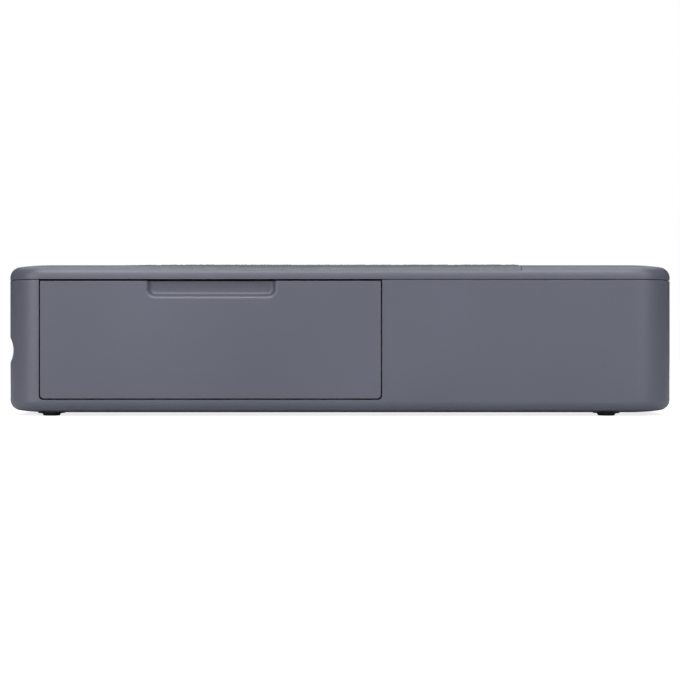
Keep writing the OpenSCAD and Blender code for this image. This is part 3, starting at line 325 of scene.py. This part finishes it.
def film(name, colour, rough, ior, gather, coat=0.0):
    """Wound, stretched or shrunk film: glossy, with soft bands where it gathers.
    gather is the width of one band in millimetres."""
    material, tree, shader, place = surface(name, **{"IOR": ior, "Metallic": 0.0, "Coat Weight": coat})
    along = add_node(tree, "ShaderNodeMapping", {"Scale": (1.0, 0.12, 1.0)}, {"Vector": place})
    bands = add_node(tree, "ShaderNodeTexNoise", {"Scale": 1 / (gather * MM), "Detail": 3.0},
                     {"Vector": along.outputs[0]}).outputs["Fac"]
    colours = add_node(tree, "ShaderNodeValToRGB", {}, {"Fac": bands})
    dark, light = colours.color_ramp.elements
    dark.position, light.position = 0.3, 0.7
    dark.color = (*[c * 0.7 for c in colour], 1)
    light.color = (*[min(1, c * 1.35) for c in colour], 1)
    tree.links.new(colours.outputs["Color"], shader.inputs["Base Color"])
    gloss = add_node(tree, "ShaderNodeMapRange", {"From Min": 0.3, "From Max": 0.7,
                     "To Min": rough, "To Max": rough + 0.12}, {"Value": bands}).outputs[0]
    tree.links.new(gloss, shader.inputs["Roughness"])
    bump = add_node(tree, "ShaderNodeBump", {"Distance": 0.03 * MM, "Strength": 0.6}, {"Height": bands})
    tree.links.new(bump.outputs["Normal"], shader.inputs["Normal"])
    return material


def finishes():
    """Every finish by its slot in the record, and the knitted variant of the case's plastic."""
    case = tuple(bpy.context.scene.printer_colours.case)
    return {
        # ABS, spark-eroded mould: matt slate grey, fine even grain, a soft broad highlight on its edges
        "case_plastic": moulded("abs_slate_fine_grain", case, 0.4, 0.35, 0.012, ior=1.55, shade=0.1),
        # the same ABS in the knitted relief, with a painted highlight on the stitches and painted shade between
        # them
        "knit_plastic": moulded("abs_slate_knitted", case, 0.4, 0.35, 0.012, ior=1.55, shade=0.1,
                                stitched=True),
        # ABS and polycarbonate, satin mould: near black, a little shinier than the shell
        "dark_plastic": moulded("abs_black_satin", linear("#37383d"), 0.45, 0.5, 0.01),
        # polystyrene, satin mould: the dark grey floor and walls that the sheets slide in
        "tray_plastic": moulded("polystyrene_grey_satin", linear("#4b4c51"), 0.4, 0.6, 0.008),
        # acetal, polished mould: milky white and slippery, with a waxy gleam
        "gear_plastic": moulded("acetal_natural", linear("#dcd8ca"), 0.32, 0.8, 0.004, shade=0.03),
        # ABS, satin mould: orange, so that the eject lever is found at once
        "lever_plastic": moulded("abs_orange_satin", linear("#c46f3a"), 0.42, 0.5, 0.008),
        # polystyrene, satin mould: the black ribbon cassette
        "cassette_plastic": moulded("polystyrene_black_satin", linear("#2b2b2f"), 0.38, 0.45, 0.01),
        # polystyrene, natural: ivory spools with a dull gleam
        "spool_plastic": moulded("polystyrene_ivory", linear("#d6d3c4"), 0.4, 0.7, 0.006, shade=0.04),
        # acrylic light pipe, polished: clear and faintly green, bright at its edge
        "light_pipe": moulded("acrylic_clear_polished", linear("#c9d8cb"), 0.14, 1.2, 0.001, ior=1.49,
                              spread=0.03),
        # zinc-plated steel sheet, rolled: cool grey, faint lines along the sheet
        "sheet_steel": metal("zinc_plated_steel", linear("#b9bcbf"), 0.38, (12, 1, 1), 0.12),
        # ground steel rod: bright, with very fine lines round it
        "pin_steel": metal("ground_steel", linear("#c8c9ca"), 0.24, (1, 8, 1), 0.06, 0.002),
        # black zinc screws: dark, oily gleam
        "screw_steel": metal("black_zinc_steel", linear("#3a3b40"), 0.36, (1, 1, 1), 0.2),
        # drawn motor can, nickel washed: grey with draw lines along the can
        "motor_steel": metal("drawn_steel_can", linear("#a9abae"), 0.3, (1, 10, 1), 0.1),
        # turned brass: warm yellow, bright on the teeth
        "brass": metal("turned_brass", linear("#c9a457"), 0.28, (1, 1, 1), 0.08),
        # extruded aluminium: pale grey, straight lines along the fins
        "aluminium": metal("extruded_aluminium", linear("#c5c7c9"), 0.34, (1, 14, 1), 0.1),
        # glazed alumina: ivory, smooth and glassy
        "heater_ceramic": film("glazed_alumina", linear("#d2ccb8"), 0.12, 1.6, 6, coat=0.5),
        # ground silicone rubber: dead black, even nap
        "roller_rubber": rubber("ground_silicone_rubber", linear("#1d1d1f"), 0.75, 0.15),
        # moulded EPDM: black feet that pick up a little bloom
        "foot_rubber": rubber("moulded_epdm_rubber", linear("#232327"), 0.7, 0.25),
        # cork bound in rubber: warm brown with pale flecks
        "pad_cork": rubber("cork_rubber_pad", linear("#7a5131"), 0.85, 0.5, fleck=linear("#b58c63")),
        # dye on polyester film: deep magenta, glossy, faint gathers
        "ink_film": film("dye_coated_polyester", linear("#6b2338"), 0.16, 1.64, 2.5),
        # spent dye film: violet grey, glossy
        "clear_film": film("spent_polyester_film", linear("#3d3a57"), 0.16, 1.64, 2.5),
        # PVC shrink sleeve: blue, glossy, drawn tight over the cells
        "cell_wrap": film("pvc_shrink_sleeve", linear("#2f5488"), 0.22, 1.53, 3.5),
        # glass-epoxy board under solder mask: green, glossy over a faint weave
        "board": film("solder_mask_green", linear("#1f5a3c"), 0.25, 1.55, 1.2, coat=0.3),
        # epoxy chip bodies: black and finely pitted
        "chips": moulded("epoxy_black", linear("#27272a"), 0.55, 0.2, 0.01),
        # nickel-plated steel: the bright charging port
        "port_steel": metal("nickel_plated_steel", linear("#c8c5c0"), 0.24, (6, 1, 1), 0.12),
    }


def dressed(slot):
    """The finish of one slot, made once."""
    if not hasattr(dressed, "made"):
        dressed.made = finishes()
    return dressed.made[slot]


def outline_gap(point):
    """How far a point lies inside the shell's rounded outline, seen from above; 0 is on it."""
    radius = bpy.context.scene.printer_sizes.corner_radius
    x = abs(point.x) - (CASE_HIGH.x - radius)
    y = abs(point.y) - (CASE_HIGH.y - radius)
    if x > 0 and y > 0:
        return radius - math.hypot(x, y)
    return radius - max(x, y)


def sharp(edge, angle=35):
    """True for an edge between two faces that turn more than the angle."""
    return len(edge.link_faces) == 2 and edge.calc_face_angle() > math.radians(angle)


def soften(obj, width, test, what):
    """Rounds the edges of an object that pass a test."""
    if not pick(obj, "EDGE", test):
        raise RuntimeError(what + " has no edge to soften")
    bpy.ops.mesh.bevel(offset=width, segments=3, affect="EDGES", clamp_overlap=True)


class PRINTER_OT_shell(bpy.types.Operator):
    """Rebuilds the lower case with softened seams"""

    bl_idname = "printer.shell"
    bl_label = "Lower case"

    def execute(self, context):
        sizes = context.scene.printer_sizes
        obj = node_copy("softened_lower_case", "lower_case")

        def outside(edge, low, high):
            return sharp(edge) and all(
                outline_gap(v.co) < NEAR and low < v.co.z < high for v in edge.verts)

        # the openings lie between the lower edge's rounding and the brim, where the cover meets the case
        brim = max(v.co.z for v in obj.data.vertices if outline_gap(v.co) < NEAR) - NEAR
        rounding = CASE_LOW.z + 3 * MM
        soften(obj, sizes.door_softening, lambda e: outside(e, rounding, brim), "the ink door's opening")
        soften(obj, sizes.seam_softening, lambda e: outside(e, brim, CASE_HIGH.z), "the lower case")
        settle(obj, "root", dressed("case_plastic"))
        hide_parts("lower_case")
        return {"FINISHED"}


class PRINTER_OT_cover(bpy.types.Operator):
    """Rebuilds the top cover with a softened rim"""

    bl_idname = "printer.cover"
    bl_label = "Top cover"

    def execute(self, context):
        sizes = context.scene.printer_sizes
        obj = node_copy("softened_top_cover", "top_cover")

        def rim(edge):
            return sharp(edge) and all(outline_gap(v.co) < NEAR for v in edge.verts)

        soften(obj, sizes.seam_softening, rim, "the top cover")
        settle(obj, "cover", dressed("case_plastic"))
        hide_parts("top_cover")
        return {"FINISHED"}


def shoulder(sizes, run):
    """How far out and how far down the cover's surface goes, a length past its flat top."""
    crown, turn = sizes.cover_crown_radius, sizes.cover_edge_radius
    bend = math.acos((crown - sizes.cover_edge_height) / (crown - turn))
    if run < crown * bend:
        angle = run / crown
        return crown * math.sin(angle), crown * (1 - math.cos(angle))
    angle = bend + (run - crown * bend) / turn
    return ((crown - turn) * math.sin(bend) + turn * math.sin(angle),
            sizes.cover_edge_height - turn * math.cos(angle))


class PRINTER_OT_knit(bpy.types.Operator):
    """Knits the raised pattern over the top and shoulders of the cover"""

    bl_idname = "printer.knit"
    bl_label = "Knitted relief"

    def execute(self, context):
        sizes = context.scene.printer_sizes
        crown, turn = sizes.cover_crown_radius, sizes.cover_edge_radius
        half_flat = COVER_HIGH.y - turn - math.sqrt(
            (crown - turn) ** 2 - (crown - sizes.cover_edge_height) ** 2)
        wrap = 0.0
        while shoulder(sizes, wrap)[1] < sizes.knit_drop:
            wrap += 0.02 * MM
        half_wrap = half_flat + wrap
        length = sizes.knit_rear - sizes.knit_front
        columns = 2 * round(length / sizes.knit_leg)
        rows = 2 * round(half_wrap / (sizes.knit_course / 4))
        obj = start("knitted_cover_relief", "primitive_grid",
                    x_subdivisions=columns, y_subdivisions=rows, size=1)
        bpy.ops.transform.resize(value=(length, 2 * half_wrap, 1))
        bpy.ops.transform.translate(value=((sizes.knit_front + sizes.knit_rear) / 2, 0, COVER_HIGH.z))
        bpy.ops.object.mode_set(mode="OBJECT")
        bpy.ops.object.transform_apply(location=True, rotation=True, scale=True)
        # painted light on the relief against the plain case: a painted highlight on the stitches' crests, and
        # painted shade in the valleys between them
        valley_painted_shade, crest_painted_highlight = -0.24, 0.08
        # shares of the relief's height: its ground, a valley between legs, and a stitch at its ends
        ground, valley, ends = 0.04, 0.05, 0.5
        # how far a leg leans across its stitch, as a share of its width
        slant = 0.4
        draw = random.Random(7)
        stitches = {}
        group = obj.vertex_groups.new(name="relief")
        painted_shading_factors = []
        step = length / columns
        for vertex in obj.data.vertices:
            place = vertex.co
            column = round((place.x - sizes.knit_front) / step)
            across = place.y + half_wrap
            leg = column // 2
            lean = 1 if leg % 2 else -1
            course = across / sizes.knit_course
            part = course % 1
            crest = column % 2
            # some stitches lie lower than others, two on end
            size = stitches.setdefault((leg, int(course / 2)), 1 - 0.8 * draw.random() ** 1.6)
            rise = (valley + (1 - valley) * crest) * size
            rise *= ends + (1 - ends) * math.sin(math.pi * part) ** 0.6
            present = min(1, max(0.0, (place.x - sizes.knit_front) / sizes.knit_fade)) ** 0.5
            # painted shade in the valleys and a painted highlight on the crests, by how high the stitch rises
            painted_shading_factors.append(1 + present * (valley_painted_shade + (crest_painted_highlight - valley_painted_shade) * rise))
            rise *= present
            rise *= min(1, max(0.0, min(across, 2 * half_wrap - across) / sizes.knit_course)) ** 0.5
            edge = column in (0, columns) or across < 1e-6 or across > 2 * half_wrap - 1e-6
            group.add([vertex.index], 0 if edge else ground + (1 - ground) * rise, "REPLACE")
            if not edge:
                place.x += lean * (part - 0.5) * sizes.knit_leg * slant * (1 if crest else 0.5)
            over = abs(place.y) - half_flat
            if over > 0:
                out, down = shoulder(sizes, over)
                place.y = math.copysign(half_flat + out, place.y)
                place.z = COVER_HIGH.z - down
        # the painted shade and highlight of the stitches, carried to the material
        obj.data.attributes.new("stitch_painted_shading", "FLOAT", "POINT")
        obj.data.attributes["stitch_painted_shading"].data.foreach_set("value", painted_shading_factors)
        take_up(obj)
        lift = obj.modifiers.new("lift", "DISPLACE")
        lift.strength = sizes.knit_height
        lift.mid_level = 0.0
        lift.vertex_group = "relief"
        bpy.ops.object.modifier_apply(modifier="lift")
        obj.vertex_groups.clear()
        bpy.ops.object.mode_set(mode="EDIT")
        bpy.ops.mesh.select_all(action="SELECT")
        bpy.ops.mesh.region_to_loop()
        # the relief's border goes down into the cover's skin
        skirt = 0.25 * MM
        bpy.ops.mesh.extrude_edges_move(TRANSFORM_OT_translate={"value": (0, 0, -skirt)})
        close_underside(obj)
        settle(obj, "cover", dressed("knit_plastic"), smooth=80)
        return {"FINISHED"}


def close_underside(obj):
    """Closes the underside of the relief: long strips from its front to its rear, and one along each side."""
    mesh = bmesh.from_edit_mesh(obj.data)
    border = [e for e in mesh.edges if e.is_boundary]
    ends = {e for e in border if abs(e.verts[0].co.x - e.verts[1].co.x) < 1e-7}
    pick(obj, "EDGE", lambda e: e in ends)
    bpy.ops.mesh.bridge_edge_loops()
    for side in (-1, 1):
        if not pick(obj, "EDGE", lambda e: e.is_boundary and e.verts[0].co.y * side > 0):
            raise RuntimeError("the relief has no open side left to close")
        bpy.ops.mesh.edge_face_add()


class PRINTER_OT_door(bpy.types.Operator):
    """Rebuilds the ink door with softened edges round its face and finger recess"""

    bl_idname = "printer.door"
    bl_label = "Ink door"

    def execute(self, context):
        sizes = context.scene.printer_sizes
        obj = node_copy("softened_ink_door", "ink_door")
        # wider than the rounding of the door's corners
        border = 1.2 * MM

        def lies(edge, depth):
            return sharp(edge, 20) and all(abs(v.co.y - DOOR_LOW.y - depth) < NEAR for v in edge.verts)

        def within(edge):
            """True for an edge that runs clear of the door's outline."""
            return any(min(v.co.x - DOOR_LOW.x, DOOR_HIGH.x - v.co.x) > border
                       and min(v.co.z - DOOR_LOW.z, DOOR_HIGH.z - v.co.z) > border for v in edge.verts)

        for depth, what in ((0, "the recess's rim"), (sizes.recess_depth, "the recess's foot")):
            soften(obj, sizes.recess_softening, lambda e: within(e) and lies(e, depth), what)

        def front(edge):
            return lies(edge, 0) and not within(edge)

        soften(obj, sizes.door_softening, front, "the ink door")
        settle(obj, "door", dressed("case_plastic"))
        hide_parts("ink_door")
        return {"FINISHED"}


class PRINTER_OT_finish(bpy.types.Operator):
    """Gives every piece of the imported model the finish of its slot"""

    bl_idname = "printer.finish"
    bl_label = "Finishes"

    def execute(self, context):
        for name, obj in NODES.items():
            for slot in obj.material_slots:
                # the door's pins take the dark screw finish as painted shade, so that the gap beside the door
                # reads dark and they don't flash in it
                darkened_as_shade = name == "door_hinge_pins"
                slot.material = dressed("screw_steel" if darkened_as_shade else slot.name.split(".")[0])
        return {"FINISHED"}


class PRINTER_OT_stage(bpy.types.Operator):
    """Sets the pale floor, the soft lights and the camera"""

    bl_idname = "printer.stage"
    bl_label = "Stage"

    def execute(self, context):
        scene = context.scene
        scene.view_settings.view_transform = "Standard"
        # the floor: a thick sheet of white card, matt and even
        obj = start("studio_floor", "primitive_plane", size=FLOOR_SIDE)
        bpy.ops.mesh.extrude_region_move(TRANSFORM_OT_translate={"value": (0, 0, -FLOOR_THICKNESS)})
        bpy.ops.mesh.normals_make_consistent(inside=False)
        bpy.ops.object.mode_set(mode="OBJECT")
        card, tree, shader, place = surface("white_card", **{"Roughness": 0.9, "Specular IOR Level": 0.1,
                                            "Emission Color": (1, 1, 1, 1)})
        fibre = add_node(tree, "ShaderNodeTexNoise", {"Scale": 1 / (3 * MM)},
                         {"Vector": place}).outputs["Fac"]
        tint = add_node(tree, "ShaderNodeValToRGB", {}, {"Fac": fibre})
        pale = tuple(scene.printer_colours.floor)
        tint.color_ramp.elements[0].color = (*[c * 0.985 for c in pale], 1)
        tint.color_ramp.elements[1].color = (*pale, 1)
        tree.links.new(tint.outputs["Color"], shader.inputs["Base Color"])
        # lit through from below for the eye alone, so that only a faint shadow stays under the printer
        seen = add_node(tree, "ShaderNodeLightPath").outputs["Is Camera Ray"]
        glow = add_node(tree, "ShaderNodeMath", {"operation": "MULTIPLY", 1: FLOOR_GLOW}, {0: seen})
        tree.links.new(glow.outputs[0], shader.inputs["Emission Strength"])
        obj.data.materials.append(card)

        world = bpy.data.worlds.new("studio")
        world.use_nodes = True
        scene.world = world
        sky = world.node_tree
        sky.nodes.clear()
        height = add_node(sky, "ShaderNodeSeparateXYZ", {}, {0: add_node(
            sky, "ShaderNodeTexCoord").outputs["Generated"]}).outputs["Z"]
        fall = add_node(sky, "ShaderNodeMapRange", {"From Min": SKY[0], "From Max": SKY[1],
                        "To Min": SKY[2], "To Max": SKY[3]}, {"Value": height}).outputs[0]
        under = add_node(sky, "ShaderNodeMapRange", {"From Min": -0.05, "From Max": -0.1,
                         "To Max": UNDERLIGHT}, {"Value": height}).outputs[0]
        lit = add_node(sky, "ShaderNodeMath", {"operation": "MAXIMUM"}, {0: fall, 1: under}).outputs[0]
        # the backdrop is white to the eye, but lights the printer only as much as the sky does
        seen = add_node(sky, "ShaderNodeLightPath").outputs["Is Camera Ray"]
        strength = add_node(sky, "ShaderNodeMath", {"operation": "MAXIMUM"}, {0: lit, 1: seen}).outputs[0]
        glow = add_node(sky, "ShaderNodeBackground", {"Color": (1, 1, 1, 1)}, {"Strength": strength})
        add_node(sky, "ShaderNodeOutputWorld", {}, {"Surface": glow.outputs[0]})

        # the middle of the printer, half its height over the floor
        aim = Vector((0, 0, 0.016))
        for name, azimuth, elevation, away, wide, high, power in SOFTBOXES:
            lamp = bpy.data.lights.new(name, "AREA")
            lamp.shape, lamp.size, lamp.size_y, lamp.energy = "RECTANGLE", wide, high, power
            holder = bpy.data.objects.new(name, lamp)
            a, e = math.radians(azimuth), math.radians(elevation)
            out = Vector((math.sin(a) * math.cos(e), -math.cos(a) * math.cos(e), math.sin(e)))
            holder.location = aim + out * away
            holder.rotation_euler = (-out).to_track_quat("-Z", "Y").to_euler()
            scene.collection.objects.link(holder)

        eye = bpy.data.cameras.new("camera")
        eye.lens, eye.sensor_width = EYE_LENS, EYE_FILM
        eye.clip_start, eye.clip_end = 0.01, 20
        camera = bpy.data.objects.new("camera", eye)
        camera.location = (0, -EYE_AWAY, EYE_HEIGHT)
        camera.rotation_euler = (math.radians(90), 0, 0)
        scene.collection.objects.link(camera)
        scene.camera = camera
        return {"FINISHED"}


class PRINTER_PT_panel(bpy.types.Panel):
    """Lists the printer's pieces, sizes and colours"""

    bl_idname = "PRINTER_PT_panel"
    bl_label = "Compact Photo Printer"
    bl_space_type = "VIEW_3D"
    bl_region_type = "UI"
    bl_category = "Printer"

    def draw(self, context):
        for piece in PIECES:
            self.layout.operator(piece.bl_idname)
        for group in (context.scene.printer_sizes, context.scene.printer_colours):
            for name in group.__annotations__:
                self.layout.prop(group, name)


PIECES = (
    PRINTER_OT_stage,
    PRINTER_OT_finish,
    PRINTER_OT_shell,
    PRINTER_OT_cover,
    PRINTER_OT_knit,
    PRINTER_OT_door,
)
CLASSES = (PrinterSizes, PrinterColours, *PIECES, PRINTER_PT_panel)


def register():
    for made in CLASSES:
        bpy.utils.register_class(made)
    bpy.types.Scene.printer_sizes = bpy.props.PointerProperty(type=PrinterSizes)
    bpy.types.Scene.printer_colours = bpy.props.PointerProperty(type=PrinterColours)


def unregister():
    del bpy.types.Scene.printer_colours
    del bpy.types.Scene.printer_sizes
    for made in reversed(CLASSES):
        bpy.utils.unregister_class(made)


def main():
    register()
    for piece in PIECES:
        group, name = piece.bl_idname.split(".")
        getattr(getattr(bpy.ops, group), name)()


if __name__ == "__main__":
    main()
